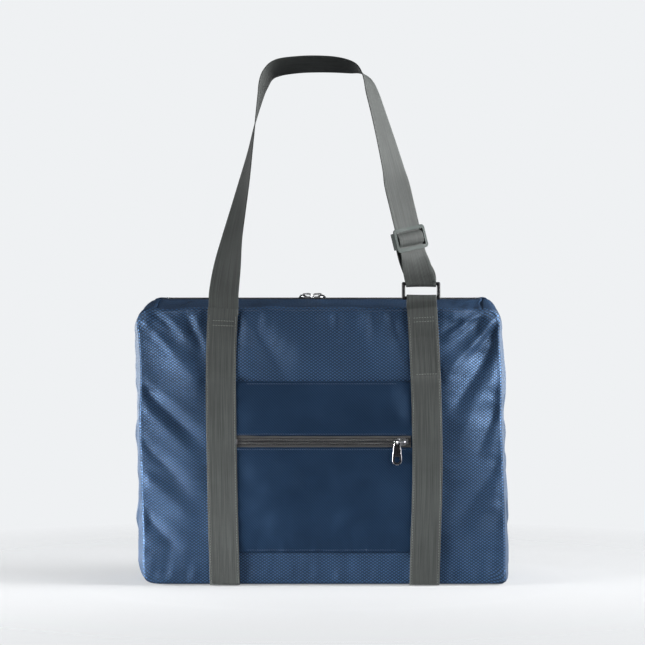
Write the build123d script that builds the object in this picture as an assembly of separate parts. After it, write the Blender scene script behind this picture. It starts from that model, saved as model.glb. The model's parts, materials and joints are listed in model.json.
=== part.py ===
"""Foldable travel tote bag: a gusseted nylon shell with a zipped top, a zipped front pocket that the bag
folds into, stitched-on webbing, and one adjustable shoulder strap on a ring and a tri-glide buckle.

Millimetres. X is the bag's width, Y its depth with the front face towards -Y, and Z is up.
The origin is on the resting surface, under the middle of the bag.
"""

import math
import os

from build123d import *

# Shell
HALF_WIDTH = 238.0  # outside of the side gussets
HALF_DEPTH = 80.0  # at the top and bottom seams
CROWN = 14.0  # how far the front and the back bulge past their seams
CORNER_R = 24.0  # corners of the bag seen from the front
FABRIC = 1.0
SEAM_TOP = 352.0  # height of the front and back top seams
CREST_TOP = 364.4  # height of the top gussets where they meet the zipper
GAP = 0.1  # between sewn layers
SPARE = 3.0  # what a block is cut from stands past the cut by this

# Webbing
WEB_WIDTH = 38.0
WEB_THICK = 1.3
WEB_X = 128.0  # centre of each webbing
BASE_Z = WEB_THICK + GAP  # underside of the bottom panel

# Layers over the front panel's inner face, measured outwards
LINING_LIFT = FABRIC + GAP
LINING_THICK = 0.6
POCKET_LIFT = 3.9
POCKET_THICK = 0.8
TAPE_THICK = 0.6
WEB_LIFT = 5.0

# Front pocket
POCKET_TOP = 259.0
POCKET_BOTTOM = 42.0
POCKET_HALF = 116.0
POCKET_ZIP_Z = 183.0
ZIP_SLOT = 14.0  # visible width of the zipper between the two fabric edges
POCKET_ZIP_HALF = 112.0
POCKET_CHAIN_HALF = 106.5

# Zippers
COIL_WIDTH = 2.7
COIL_THICK = 1.6
CHAIN_GAP = 1.4  # room for the slider's neck between the two rows of coil
MAIN_ZIP_HALF = 206.0
MAIN_CHAIN_HALF = 200.0
MAIN_TAPE_Y = 13.9
STOP_LENGTH = 2.0
SLIDER_LENGTH = 13.6
SLIDER_HALF = 4.6
PLATE = 1.1
NECK = 0.9
BRIDGE_WIDTH = 2.0
BRIDGE_THICK = 1.1
BRIDGE_RISE = 2.8  # opening under the bridge
BRIDGE_HALF = 5.5
POCKET_SLIDER_X = 99.5
MAIN_MEET_X = -12.7  # where the two main sliders meet
MAIN_SLIDER_OFF = 7.1

# Pull tab, lengths from the centre of its end bar
PULL_LENGTH = 32.0
PULL_THICK = 1.4
END_BAR = 1.5
EYE_LENGTH = 4.9
EYE_HALF = 1.9
MAIN_PULL_DROOP = 7.0  # degrees that the main pulls slope down towards the rear

# Ring and tri-glide
HINGE_Y = -85.7
HINGE_Z = 364.5
BAR_R = 2.25
RING_RISE = 18.0  # between the centres of the ring's two bars
RING_INNER = 40.0
RING_X = 125.5
WRAP_R = BAR_R + 0.3 + WEB_THICK / 2  # middle of the webbing round a bar
GLIDE_CENTRE = (111.0, -88.6, 439.4)
GLIDE_LEAN = 13.5
GLIDE_YAW = 32.0
GLIDE_HALF_U = 23.5
GLIDE_HALF_V = 15.0
GLIDE_BAR = 4.4
GLIDE_FRONT = 3.4
GLIDE_BACK = -5.2
GLIDE_RAIL = 3.3  # width of the deep side bars
GLIDE_CORNER_R = 4.5
CENTRE_BAR_V = 6.0  # along the strap
CENTRE_BAR_N = 2.2  # through the buckle
CENTRE_BAR_OUT = GLIDE_BACK + 1.3  # middle of the centre bar
LOOP_GAP = 0.25  # between the centre bar and the webbing round it

ARC_MID_Z = (BASE_Z + SEAM_TOP) / 2
ARC_HALF = (SEAM_TOP - BASE_Z) / 2
ARC_R = (ARC_HALF**2 + CROWN**2) / (2 * CROWN)
ARC_Y = ARC_R - HALF_DEPTH - CROWN


def crown_y(z, lift=0.0):
    """Y of the front surface at height z, lift mm outside the front panel's inner face."""
    return ARC_Y - math.sqrt((ARC_R + lift) ** 2 - (z - ARC_MID_Z) ** 2)


def yz_solid(edges, x0, x1):
    """The closed outline of edges drawn as (y, z), extruded from x0 to x1."""
    face = Plane.YZ.offset(x0) * make_face(edges)
    return extrude(face, amount=x1 - x0, dir=(1, 0, 0))


def crown_arc(z0, z1, lift):
    zm = (z0 + z1) / 2
    ends = [(crown_y(z, lift), z) for z in (z0, zm, z1)]
    return ThreePointArc(*ends)


def crown_strip(x0, x1, z0, z1, lift, thick):
    """A strip of cloth lying on the crowned front."""
    inner, outer = crown_arc(z0, z1, lift), crown_arc(z0, z1, lift + thick)
    ends = [Line(inner @ 0, outer @ 0), Line(inner @ 1, outer @ 1)]
    return yz_solid([inner, outer, *ends], x0, x1)


def to_back(solid):
    return mirror(solid, about=Plane.XZ)


def to_right(solid):
    return mirror(solid, about=Plane.YZ)


def outline(inset=0.0):
    """The bag's front outline as a prism through its whole depth."""
    width = 2 * (HALF_WIDTH - inset)
    height = SEAM_TOP - BASE_Z - 2 * inset
    face = Plane.XZ * Pos(0, ARC_MID_Z) * RectangleRounded(width, height, CORNER_R - inset)
    return extrude(face, amount=2 * HALF_DEPTH, both=True)


def barrel():
    """The space between the inner faces of the front and back panels, a hair smaller."""
    z0, z1, side = BASE_Z - SPARE, SEAM_TOP + SPARE, []
    for sign in (1, -1):
        points = [(sign * (crown_y(z) + GAP), z) for z in (z0, ARC_MID_Z, z1)]
        side.append(ThreePointArc(*points))
    ends = [Line(side[0] @ 0, side[1] @ 0), Line(side[0] @ 1, side[1] @ 1)]
    return yz_solid([*side, *ends], -HALF_WIDTH - SPARE, HALF_WIDTH + SPARE)


def region(x0, x1, z0, z1):
    depth = 3 * HALF_DEPTH
    return Pos((x0 + x1) / 2, 0, (z0 + z1) / 2) * Box(x1 - x0, depth, z1 - z0)


def front_panel():
    x = HALF_WIDTH + SPARE
    return crown_strip(-x, x, BASE_Z - SPARE, SEAM_TOP + SPARE, 0, FABRIC) & outline()


def gusset_ring():
    return (outline() - outline(FABRIC)) & barrel()


def side_gusset_left():
    corner_x = HALF_WIDTH - CORNER_R
    return gusset_ring() & region(-HALF_WIDTH - SPARE, -corner_x, 0, SEAM_TOP + SPARE)


def bottom_panel():
    corner_x = HALF_WIDTH - CORNER_R - GAP
    return gusset_ring() & region(-corner_x, corner_x, 0, CORNER_R)


def top_gusset_front():
    """Slopes up from the front seam to the zipper."""
    half = HALF_WIDTH - CORNER_R - GAP
    seam_y = -HALF_DEPTH + GAP
    points = [
        (seam_y, SEAM_TOP),
        (-MAIN_TAPE_Y - GAP, CREST_TOP),
        (-MAIN_TAPE_Y - GAP, CREST_TOP - FABRIC),
        (seam_y, SEAM_TOP - FABRIC),
    ]
    return yz_solid(Polyline(*points, close=True), -half, half)


def front_seam_binding():
    """Bias tape over the raw edges, just inside the front seam."""
    width, margin, thick = 9.0, 1.5, 1.2
    ring = outline(margin) - outline(margin + thick)
    centre_y = -HALF_DEPTH + FABRIC + width / 2
    return ring & Pos(0, centre_y, ARC_MID_Z) * Box(2 * HALF_WIDTH, width, 2 * ARC_HALF)


def zip_end_tab_left():
    """The piece that closes the gable past the zipper's end and slopes down to the side gusset."""
    low_x, high_x = -HALF_WIDTH + CORNER_R + GAP, -MAIN_ZIP_HALF - GAP
    flat = Pos((low_x + high_x) / 2, 0, CREST_TOP - FABRIC / 2) * Box(high_x - low_x, 2 * MAIN_TAPE_Y, FABRIC)
    gable = [(-HALF_DEPTH + 8, SEAM_TOP), (-MAIN_TAPE_Y, CREST_TOP - 2 * FABRIC)]
    gable += [(-y, z) for y, z in reversed(gable)]
    wall = yz_solid(Polyline(*gable, close=True), low_x, low_x + FABRIC)
    stem = Pos(low_x + FABRIC / 2, 0, CREST_TOP - 1.5 * FABRIC) * Box(FABRIC, 2 * MAIN_TAPE_Y, 2 * FABRIC)
    return flat + stem + wall


def pocket_lining():
    x = POCKET_HALF
    return crown_strip(-x, x, POCKET_BOTTOM, POCKET_TOP, LINING_LIFT, LINING_THICK)


def pocket_panel(z0, z1):
    return crown_strip(-POCKET_HALF, POCKET_HALF, z0, z1, POCKET_LIFT, POCKET_THICK)


def zip_tape(half_length, inner, outer):
    """One zipper tape in the zipper's own frame: X along, Y across, Z out of the face."""
    centre = Pos(0, (inner + outer) / 2, TAPE_THICK / 2)
    return centre * Box(2 * half_length, outer - inner, TAPE_THICK)


def zip_coil(half_length):
    inner = CHAIN_GAP / 2
    centre = Pos(0, inner + COIL_WIDTH / 2, TAPE_THICK + COIL_THICK / 2)
    strip = centre * Box(2 * half_length, COIL_WIDTH, COIL_THICK)
    top = strip.edges().filter_by(Axis.X).group_by(Axis.Z)[-1]
    return fillet(top, 0.6)


def zip_stops(half_length):
    """The two metal stops clamped on the ends of the chain."""
    stops = []
    height = COIL_THICK + 0.4
    for side in (-1, 1):
        x = side * (half_length + STOP_LENGTH / 2 + GAP)
        block = Box(STOP_LENGTH, 2 * COIL_WIDTH + CHAIN_GAP, height)
        block = fillet(block.edges().filter_by(Axis.Z), 0.8)
        stops.append(Pos(x, 0, TAPE_THICK + height / 2) * block)
    return Compound(children=stops)


def zip_slider():
    """Slider body in the zipper's frame: two plates joined by a neck, and the bridge that holds the pull."""
    top_z = TAPE_THICK + COIL_THICK + 0.4
    upper = Pos(0, 0, top_z + PLATE / 2) * plate_outline(PLATE)
    lower = Pos(0, 0, -0.6 - PLATE / 2) * plate_outline(PLATE)
    neck_height = top_z + 0.6
    neck = Pos(SLIDER_LENGTH / 4, 0, neck_height / 2 - 0.6) * Box(3.0, NECK, neck_height)
    body = upper + lower + neck
    for side in (-1, 1):
        y = side * (SLIDER_HALF - 0.35)
        body += Pos(0, y, top_z - 0.5) * Box(SLIDER_LENGTH - 5, 0.7, 1.0)
    return body + bridge(top_z + PLATE)


def plate_outline(thick):
    """A slider plate: broad shoulders at the open end, narrow at the closed end."""
    half = SLIDER_LENGTH / 2
    points = [
        (-half, -2.6),
        (-half + 3.0, -SLIDER_HALF),
        (half - 1.5, -SLIDER_HALF),
        (half, -3.4),
        (half, 3.4),
        (half - 1.5, SLIDER_HALF),
        (-half + 3.0, SLIDER_HALF),
        (-half, 2.6),
    ]
    plate = extrude(make_face(Polyline(*points, close=True)), amount=thick / 2, both=True)
    return fillet(plate.edges().filter_by(Axis.Z), 0.7)


def bridge(foot_z):
    """The arch over the slider, with the two feet on its upper plate."""
    half, rise = BRIDGE_HALF, BRIDGE_RISE + BRIDGE_THICK
    arch = Pos(0, 0, foot_z + rise / 2) * Box(2 * half, BRIDGE_WIDTH, rise)
    arch = fillet(arch.edges().filter_by(Axis.Y).group_by(Axis.Z)[-1], 1.6)
    hole = Box(2 * (half - BRIDGE_THICK), BRIDGE_WIDTH + 1, BRIDGE_RISE)
    hole = fillet(hole.edges().filter_by(Axis.Y).group_by(Axis.Z)[-1], 0.7)
    return arch - Pos(0, 0, foot_z + BRIDGE_RISE / 2) * hole


def pull_tab():
    """A flat pull: X runs from its end bar to its tip, Z through its thickness."""
    neck_half, broad_half, tip_half = 3.4, 5.8, 3.0
    broad_x, tip_x = PULL_LENGTH - 6.0, PULL_LENGTH - 1.5
    points = [
        (-END_BAR / 2, -neck_half),
        (broad_x, -broad_half),
        (tip_x, -tip_half),
        (PULL_LENGTH - END_BAR / 2, 0),
        (tip_x, tip_half),
        (broad_x, broad_half),
        (-END_BAR / 2, neck_half),
    ]
    blank = extrude(make_face(Polyline(*points, close=True)), amount=PULL_THICK / 2, both=True)
    blank = fillet(blank.edges().filter_by(Axis.Z), 1.4)
    eye_x = END_BAR / 2 + EYE_LENGTH / 2
    eye = Pos(eye_x, 0, 0) * extrude(RectangleRounded(EYE_LENGTH, 2 * EYE_HALF, 1.2), PULL_THICK, both=True)
    slot_start, slot_end = eye_x + EYE_LENGTH / 2 + 2.0, 19.0
    slot_face = RectangleRounded(slot_end - slot_start, 4.0, 1.0)
    slot = Pos((slot_start + slot_end) / 2, 0, PULL_THICK) * extrude(slot_face, PULL_THICK * 0.7, both=True)
    hole_points = [(21.2, -2.9), (26.5, -3.4), (29.2, 0), (26.5, 3.4), (21.2, 2.9)]
    hole = extrude(make_face(Polyline(*hole_points, close=True)), amount=PULL_THICK, both=True)
    hole = fillet(hole.edges().filter_by(Axis.Z), 0.9)
    return blank - eye - slot - hole


# Frames of the two zippers: the tape's back face, X along the chain and Z out of the bag.
MAIN_ZIP = Plane(origin=(0, 0, CREST_TOP - TAPE_THICK), x_dir=(1, 0, 0), z_dir=(0, 0, 1))
POCKET_ZIP_Y = crown_y(POCKET_ZIP_Z, POCKET_LIFT)
POCKET_ZIP = Plane(origin=(0, POCKET_ZIP_Y, POCKET_ZIP_Z), x_dir=(1, 0, 0), z_dir=(0, -1, 0))
PULL_Z = TAPE_THICK + COIL_THICK + 0.4 + PLATE + BRIDGE_RISE / 2  # level of a pull over its tape
FOOT_X = BRIDGE_HALF - BRIDGE_THICK / 2  # centre of a bridge's foot from the middle of its slider
PULL_REACH = BRIDGE_WIDTH / 2 + 0.4 + END_BAR / 2  # from a hanging pull's end bar to the foot


def main_slider(side):
    """side is -1 for the left one, whose narrow closed end points to the middle."""
    turned = Rot(0, 0, 0 if side > 0 else 180) * Rot(0, 0, 180) * zip_slider()
    return MAIN_ZIP * Pos(MAIN_MEET_X + side * MAIN_SLIDER_OFF, 0, 0) * turned


def main_pull(side):
    """Round the outer foot of its bridge, lying over the rear slope of the top."""
    place = Pos(MAIN_MEET_X + side * (MAIN_SLIDER_OFF + FOOT_X), 0, PULL_Z)
    tilt = Rot(-MAIN_PULL_DROOP, 0, 0) * Pos(0, -PULL_REACH, 0)
    return MAIN_ZIP * place * tilt * Rot(0, 0, 90) * pull_tab()


def pocket_slider():
    return POCKET_ZIP * Pos(POCKET_SLIDER_X, 0, 0) * zip_slider()


def pocket_pull():
    """Hangs from the left foot of the bridge."""
    place = Pos(POCKET_SLIDER_X - FOOT_X, PULL_REACH, PULL_Z)
    return POCKET_ZIP * place * Rot(0, 0, -90) * pull_tab()


def webbing_front_left():
    x0, x1 = -WEB_X - WEB_WIDTH / 2, -WEB_X + WEB_WIDTH / 2
    strip = crown_strip(x0, x1, BASE_Z, SEAM_TOP, WEB_LIFT, WEB_THICK)
    top = SEAM_TOP + 8
    y0 = crown_y(SEAM_TOP, WEB_LIFT + WEB_THICK)
    stub = [(y0, SEAM_TOP), (y0, top), (y0 + WEB_THICK, top), (y0 + WEB_THICK, SEAM_TOP)]
    return strip + yz_solid(Polyline(*stub, close=True), x0, x1)


def drop_outline(radius, foot_r, foot_z):
    """A teardrop round the ring's lower bar, closing downwards."""
    bar = Pos(HINGE_Y, HINGE_Z) * Circle(radius)
    foot = Pos(HINGE_Y, foot_z) * Circle(foot_r)
    return make_hull(bar.edges() + foot.edges())


def webbing_front_right():
    x0, x1 = WEB_X - WEB_WIDTH / 2, WEB_X + WEB_WIDTH / 2
    strip = crown_strip(x0, x1, BASE_Z, SEAM_TOP, WEB_LIFT, WEB_THICK)
    x0 = RING_X - WEB_WIDTH / 2
    inner_r = WRAP_R - WEB_THICK / 2
    loop = drop_outline(inner_r + WEB_THICK, WEB_THICK, SEAM_TOP + 0.8) - drop_outline(inner_r, 0.2, SEAM_TOP + 4.5)
    return strip + extrude(Plane.YZ.offset(x0) * loop, amount=WEB_WIDTH, dir=(1, 0, 0))


def webbing_base(side):
    depth = 2 * (-crown_y(BASE_Z, WEB_LIFT + WEB_THICK))
    return Pos(side * WEB_X, 0, WEB_THICK / 2) * Box(WEB_WIDTH, depth, WEB_THICK)


def webbing_back(side):
    x = side * WEB_X
    strip = crown_strip(x - WEB_WIDTH / 2, x + WEB_WIDTH / 2, BASE_Z + GAP, SEAM_TOP, FABRIC + GAP, WEB_THICK)
    return to_back(strip)


def round_bar(start, end, radius):
    start, end = Vector(*start), Vector(*end)
    plane = Plane(origin=start, z_dir=end - start)
    return plane * Cylinder(radius, (end - start).length, align=(Align.CENTER, Align.CENTER, Align.MIN))


def strap_ring():
    """A rectangular loop of round bar: the webbing holds its lower bar and the strap its upper one."""
    half = RING_INNER / 2 + BAR_R
    corners = [
        (RING_X - half, HINGE_Y, HINGE_Z),
        (RING_X + half, HINGE_Y, HINGE_Z),
        (RING_X + half, HINGE_Y, HINGE_Z + RING_RISE),
        (RING_X - half, HINGE_Y, HINGE_Z + RING_RISE),
    ]
    ring = None
    for start, end in zip(corners, corners[1:] + corners[:1]):
        bar = round_bar(start, end, BAR_R) + Pos(*start) * Sphere(BAR_R)
        ring = bar if ring is None else ring + bar
    return ring


def glide_axes():
    """The tri-glide's directions: across its bars, along the strap, and out of its face."""
    lean, yaw = math.radians(GLIDE_LEAN), math.radians(GLIDE_YAW)
    along = Vector(-math.sin(lean), 0, math.cos(lean))
    face = Vector(math.sin(yaw), -math.cos(yaw), 0)
    face = (face - along * face.dot(along)).normalized()
    return along.cross(face), along, face


def glide_plane():
    across, _, face = glide_axes()
    return Plane(origin=GLIDE_CENTRE, x_dir=across, z_dir=face)


def tri_glide():
    """Two front bars and a set-back centre bar between two deep side bars."""
    slot_front = WEB_THICK / 2 + 0.45
    rim = RectangleRounded(2 * GLIDE_HALF_U, 2 * GLIDE_HALF_V, GLIDE_CORNER_R)
    frame = extrude(rim, GLIDE_FRONT - slot_front)
    window = Box(2 * (GLIDE_HALF_U - GLIDE_RAIL), 2 * (GLIDE_HALF_V - GLIDE_BAR), 40)
    frame = Pos(0, 0, slot_front) * frame - window
    depth = slot_front - GLIDE_BACK
    for side in (-1, 1):
        rail = Box(GLIDE_RAIL, 2 * (GLIDE_HALF_V - GLIDE_CORNER_R), depth + 0.2)
        frame += Pos(side * (GLIDE_HALF_U - GLIDE_RAIL / 2), 0, GLIDE_BACK + depth / 2) * rail
    centre_bar = Box(2 * GLIDE_HALF_U - GLIDE_RAIL, CENTRE_BAR_V, CENTRE_BAR_N)
    centre_bar = fillet(centre_bar.edges().filter_by(Axis.X), 0.8)
    frame += Pos(0, 0, CENTRE_BAR_OUT) * centre_bar
    return glide_plane() * frame


def strap_end_loop():
    """The strap's sewn end, wrapped round the tri-glide's centre bar."""
    inner_v, inner_n = CENTRE_BAR_V / 2 + LOOP_GAP, CENTRE_BAR_N / 2 + LOOP_GAP
    outer = RectangleRounded(2 * (inner_v + WEB_THICK), 2 * (inner_n + WEB_THICK), 1.9)
    face = outer - RectangleRounded(2 * inner_v, 2 * inner_n, 0.9)
    ring = extrude(Plane.YZ * face, amount=WEB_WIDTH / 2, both=True)
    return glide_plane() * Pos(0, 0, CENTRE_BAR_OUT) * ring


def leg_face(side, yaw):
    """Out of a strap leg's face: yaw 0 faces the front, 90 faces outwards."""
    angle = math.radians(yaw)
    return (side * math.sin(angle), -math.cos(angle), 0)


def on_glide(distance):
    """A point on the strap's straight stretch, distance mm up from the tri-glide."""
    return tuple(Vector(*GLIDE_CENTRE) + glide_axes()[1] * distance)


# The strap from the left hinge over the top and down to the ring: points down its middle, each with the
# direction that its outer face looks.
STRAP_ROUTE = [
    ((-125.0, -85.7, 366.5), leg_face(-1, 0)),
    ((-120.5, -86.5, 400), leg_face(-1, 28)),
    ((-114, -86.5, 438), leg_face(-1, 47)),
    ((-106, -86, 476), leg_face(-1, 60)),
    ((-98, -85.5, 514), leg_face(-1, 73)),
    ((-90.5, -85, 552), leg_face(-1, 85)),
    ((-84.5, -85, 586), leg_face(-1, 93)),
    ((-78.5, -84, 616), leg_face(-1, 100)),
    ((-74, -83, 635), leg_face(-1, 106)),
    ((-67.5, -82, 648.5), (-0.78, 0.34, 0.53)),
    ((-55, -82, 656.5), (-0.33, 0.40, 0.86)),
    ((-32, -82, 660), (-0.10, 0.39, 0.92)),
    ((-8, -82, 661), (0, 0.39, 0.92)),
    ((18, -82, 660), (0.10, 0.36, 0.93)),
    ((38, -82, 656.5), (0.30, 0.22, 0.93)),
    ((50, -82, 650.5), (0.62, -0.08, 0.78)),
    ((58, -82.5, 640.5), (0.84, -0.32, 0.44)),
    ((63.5, -83, 625), leg_face(1, 66)),
    ((71.5, -84, 598), leg_face(1, 62)),
    ((80.5, -85.5, 565), leg_face(1, 54)),
    ((89.5, -87.5, 530), leg_face(1, 42)),
    (on_glide(70), tuple(glide_axes()[2])),
    (on_glide(35), tuple(glide_axes()[2])),
    (on_glide(0), tuple(glide_axes()[2])),
    (on_glide(-19), tuple(glide_axes()[2])),
    ((119.5, -88.9, 405), leg_face(1, 15)),
    ((122.8, -88.9, 391), leg_face(1, 4)),
]


def strap_section(point, face, direction):
    """The webbing's cross-section at a point: square to direction, its outer side towards face."""
    along = Vector(*direction).normalized()
    out = Vector(*face)
    out = (out - along * out.dot(along)).normalized()
    plane = Plane(origin=point, x_dir=out.cross(along), z_dir=along)
    return plane * Rectangle(WEB_WIDTH, WEB_THICK)


def ring_wrap():
    """The strap's turn under the ring's upper bar, from its front to its back."""
    centre_z = HINGE_Z + RING_RISE
    steps, turn = 6, []
    for i in range(steps + 1):
        angle = math.pi * i / steps
        y, z = -math.cos(angle), -math.sin(angle)
        point = (RING_X, HINGE_Y + WRAP_R * y, centre_z + WRAP_R * z)
        turn.append((point, (0, y, z)))
    turn.append(((RING_X, HINGE_Y + WRAP_R, centre_z + 3.0), (0, 1, 0)))
    return turn


def shoulder_strap():
    route = STRAP_ROUTE + ring_wrap()
    points = [Vector(*point) for point, _ in route]
    sections = []
    for i, (point, face) in enumerate(route):
        ahead, behind = points[min(i + 1, len(points) - 1)], points[max(i - 1, 0)]
        sections.append(strap_section(point, face, ahead - behind))
    return loft(sections, ruled=True)


def strap_tail():
    """The back layer, from behind the ring's upper bar up to the tri-glide's centre bar."""
    across, along, face = glide_axes()
    centre_z = HINGE_Z + RING_RISE
    behind = CENTRE_BAR_OUT - CENTRE_BAR_N / 2 - LOOP_GAP - WEB_THICK / 2
    top = Vector(*GLIDE_CENTRE) + face * behind - along * 5.2
    low = Vector(*GLIDE_CENTRE) + face * behind - along * 24
    route = [
        ((RING_X, HINGE_Y + WRAP_R, centre_z + 3.2), (0, -1, 0), (0, 0, 1)),
        ((RING_X - 0.8, HINGE_Y + WRAP_R, centre_z + 9), (0.05, -1, 0), (-0.1, 0, 1)),
        (tuple(low), tuple(face), tuple(along)),
        (tuple(top), tuple(face), tuple(along)),
    ]
    return loft([strap_section(*row) for row in route], ruled=True)


def build():
    slot = ZIP_SLOT / 2
    tape = zip_tape(POCKET_ZIP_HALF, CHAIN_GAP / 2, slot - GAP)
    main_tape = zip_tape(MAIN_ZIP_HALF, CHAIN_GAP / 2, MAIN_TAPE_Y)
    flip = Rot(0, 0, 180)
    pocket_coil, main_coil = zip_coil(POCKET_CHAIN_HALF), zip_coil(MAIN_CHAIN_HALF)
    left_gusset = side_gusset_left()
    parts = {
        "front_panel": front_panel(),
        "back_panel": to_back(front_panel()),
        "side_gusset_left": left_gusset,
        "side_gusset_right": to_right(left_gusset),
        "bottom_panel": bottom_panel(),
        "top_gusset_front": top_gusset_front(),
        "top_gusset_rear": to_back(top_gusset_front()),
        "zip_end_tab_left": zip_end_tab_left(),
        "zip_end_tab_right": to_right(zip_end_tab_left()),
        "front_seam_binding": front_seam_binding(),
        "rear_seam_binding": to_back(front_seam_binding()),
        "pocket_lining": pocket_lining(),
        "pocket_panel_upper": pocket_panel(POCKET_ZIP_Z + slot, POCKET_TOP),
        "pocket_panel_lower": pocket_panel(POCKET_BOTTOM, POCKET_ZIP_Z - slot),
        "pocket_zip_tape_upper": POCKET_ZIP * tape,
        "pocket_zip_tape_lower": POCKET_ZIP * flip * tape,
        "pocket_zip_coil_upper": POCKET_ZIP * pocket_coil,
        "pocket_zip_coil_lower": POCKET_ZIP * flip * pocket_coil,
        "pocket_zip_stops": POCKET_ZIP * zip_stops(POCKET_CHAIN_HALF),
        "pocket_slider": pocket_slider(),
        "pocket_pull": pocket_pull(),
        "main_zip_tape_rear": MAIN_ZIP * main_tape,
        "main_zip_tape_front": MAIN_ZIP * flip * main_tape,
        "main_zip_coil_rear": MAIN_ZIP * main_coil,
        "main_zip_coil_front": MAIN_ZIP * flip * main_coil,
        "main_zip_stops": MAIN_ZIP * zip_stops(MAIN_CHAIN_HALF),
        "webbing_front_left": webbing_front_left(),
        "webbing_front_right": webbing_front_right(),
        "strap_ring": strap_ring(),
        "tri_glide": tri_glide(),
        "strap_end_loop": strap_end_loop(),
        "shoulder_strap": shoulder_strap(),
        "strap_tail": strap_tail(),
    }
    for side, name in ((-1, "left"), (1, "right")):
        parts[f"webbing_base_{name}"] = webbing_base(side)
        parts[f"webbing_back_{name}"] = webbing_back(side)
        parts[f"main_slider_{name}"] = main_slider(side)
        parts[f"main_pull_{name}"] = main_pull(side)
    return parts


os.makedirs("parts", exist_ok=True)
for name, shape in build().items():
    export_step(shape, f"parts/{name}.step")
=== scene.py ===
"""Looks of the foldable tote bag: a sagging ripstop shell, webbing, zippers, strap and buckles.
In metres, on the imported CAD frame. +X is to the right of the front, -Y is the front, +Z is up."""

from math import cos, hypot, pi, radians, sin

import bmesh
import bpy
import numpy as np
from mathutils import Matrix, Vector
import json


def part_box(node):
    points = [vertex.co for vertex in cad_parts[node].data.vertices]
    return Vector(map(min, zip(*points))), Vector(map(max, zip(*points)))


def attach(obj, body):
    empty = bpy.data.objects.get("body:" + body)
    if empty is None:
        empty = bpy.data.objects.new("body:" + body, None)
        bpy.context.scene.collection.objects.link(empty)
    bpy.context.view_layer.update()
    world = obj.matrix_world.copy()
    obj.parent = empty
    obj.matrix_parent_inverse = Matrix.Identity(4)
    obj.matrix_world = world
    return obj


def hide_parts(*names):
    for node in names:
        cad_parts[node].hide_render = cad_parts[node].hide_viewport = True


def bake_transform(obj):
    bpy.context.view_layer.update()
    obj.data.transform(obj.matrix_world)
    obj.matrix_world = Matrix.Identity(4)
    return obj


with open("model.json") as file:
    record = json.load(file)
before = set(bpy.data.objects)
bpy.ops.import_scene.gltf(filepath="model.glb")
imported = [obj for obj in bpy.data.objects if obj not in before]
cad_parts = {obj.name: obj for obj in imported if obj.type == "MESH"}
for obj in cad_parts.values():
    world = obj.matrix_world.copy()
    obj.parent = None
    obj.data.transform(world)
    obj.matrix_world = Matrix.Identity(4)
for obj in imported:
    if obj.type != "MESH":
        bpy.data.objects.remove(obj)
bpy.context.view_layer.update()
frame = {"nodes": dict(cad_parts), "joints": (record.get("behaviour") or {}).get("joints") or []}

# ---- measures, from the frame
JOINTS = {joint["name"]: joint for joint in frame["joints"]}
PANEL_LOW, PANEL_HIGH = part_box("front_panel")
RIM_LOW, RIM_HIGH = PANEL_LOW.z, PANEL_HIGH.z
RIM_MID, RIM_HALF_H = (RIM_LOW + RIM_HIGH) / 2, (RIM_HIGH - RIM_LOW) / 2
RIM_HALF_W = PANEL_HIGH.x - 0.007  # the gussets bulge past the seams to the full width
RIM_R = 0.024
ARC = pi / 2 * RIM_R  # length of one corner of the outline
STRAIGHT_X, STRAIGHT_Z = RIM_HALF_W - RIM_R, RIM_HALF_H - RIM_R  # half of each straight side
SEAM_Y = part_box("bottom_panel")[1].y
CREST_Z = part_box("top_gusset_front")[1].z
TAPE_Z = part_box("main_zip_tape_rear")[0].z
ZIP_END_X, TAPE_EDGE_Y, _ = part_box("main_zip_tape_rear")[1]
POCKET_LOW, POCKET_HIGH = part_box("pocket_lining")
UPPER_LOW, UPPER_HIGH = (corner.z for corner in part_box("pocket_panel_upper"))
LOWER_LOW, LOWER_HIGH = (corner.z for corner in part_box("pocket_panel_lower"))
POCKET_ZIP_Z, POCKET_SLOT = (UPPER_LOW + LOWER_HIGH) / 2, (UPPER_LOW - LOWER_HIGH) / 2
POCKET_TAPE_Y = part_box("pocket_zip_tape_upper")[1].y
HINGE = Vector(JOINTS["strap_swing"]["pos_m"])
CLOTH = 0.0006
WEB_WIDTH, WEB_THICK = 0.038, 0.0013
WEB_LIFT = 0.0010  # underside of the webbing over the shell
CROWN = 0.0140  # bulge of the front and the back past their seams
POCKET_STAND = 0.0046  # the pocket's outer cloth over the shell
SIDES = ((-1, "left"), (1, "right"))


# ---- small mathematics
def ripple(u, v, size, seed, stretch=1.0):
    """Smooth random ripples about -1 to 1, size metres across, drawn out stretch times along v."""
    rng = np.random.default_rng(seed)
    total = 0.0
    for _ in range(9):
        angle, phase = rng.uniform(0, 2 * pi, 2)
        wave = size * rng.uniform(0.7, 1.6)
        along = (u * cos(angle) + v / stretch * sin(angle)) / wave
        total = total + np.sin(2 * pi * along + phase)
    return total / 4.5


def smooth(t):
    """0 to 1 with soft ends."""
    t = np.clip(t, 0, 1)
    return t * t * (3 - 2 * t)


def hump(distance, width):
    """1 at no distance, with soft flanks."""
    return np.exp(-((distance / width) ** 2))


def fading(distance, width):
    """1 at an edge, dying away inside it."""
    return np.exp(-np.maximum(distance, 0) / width)


def stack(*columns):
    """One array of points from their columns."""
    return np.stack(np.broadcast_arrays(*columns), -1)


def spline(points, per_span=8):
    """Catmull-Rom curve through the points, which may have any number of columns."""
    p = np.array(points, float)
    p = np.vstack([2 * p[0] - p[1], p, 2 * p[-1] - p[-2]])
    out = []
    for a, b, c, d in zip(p, p[1:], p[2:], p[3:]):
        for t in np.arange(per_span) / per_span:
            bend = 2 * b + (c - a) * t + (2 * a - 5 * b + 4 * c - d) * t**2 + (3 * b - a - 3 * c + d) * t**3
            out.append(bend / 2)
    return np.array(out + [p[-2]])


def unit(v):
    return v / np.maximum(np.linalg.norm(v, axis=-1, keepdims=True), 1e-9)


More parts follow.
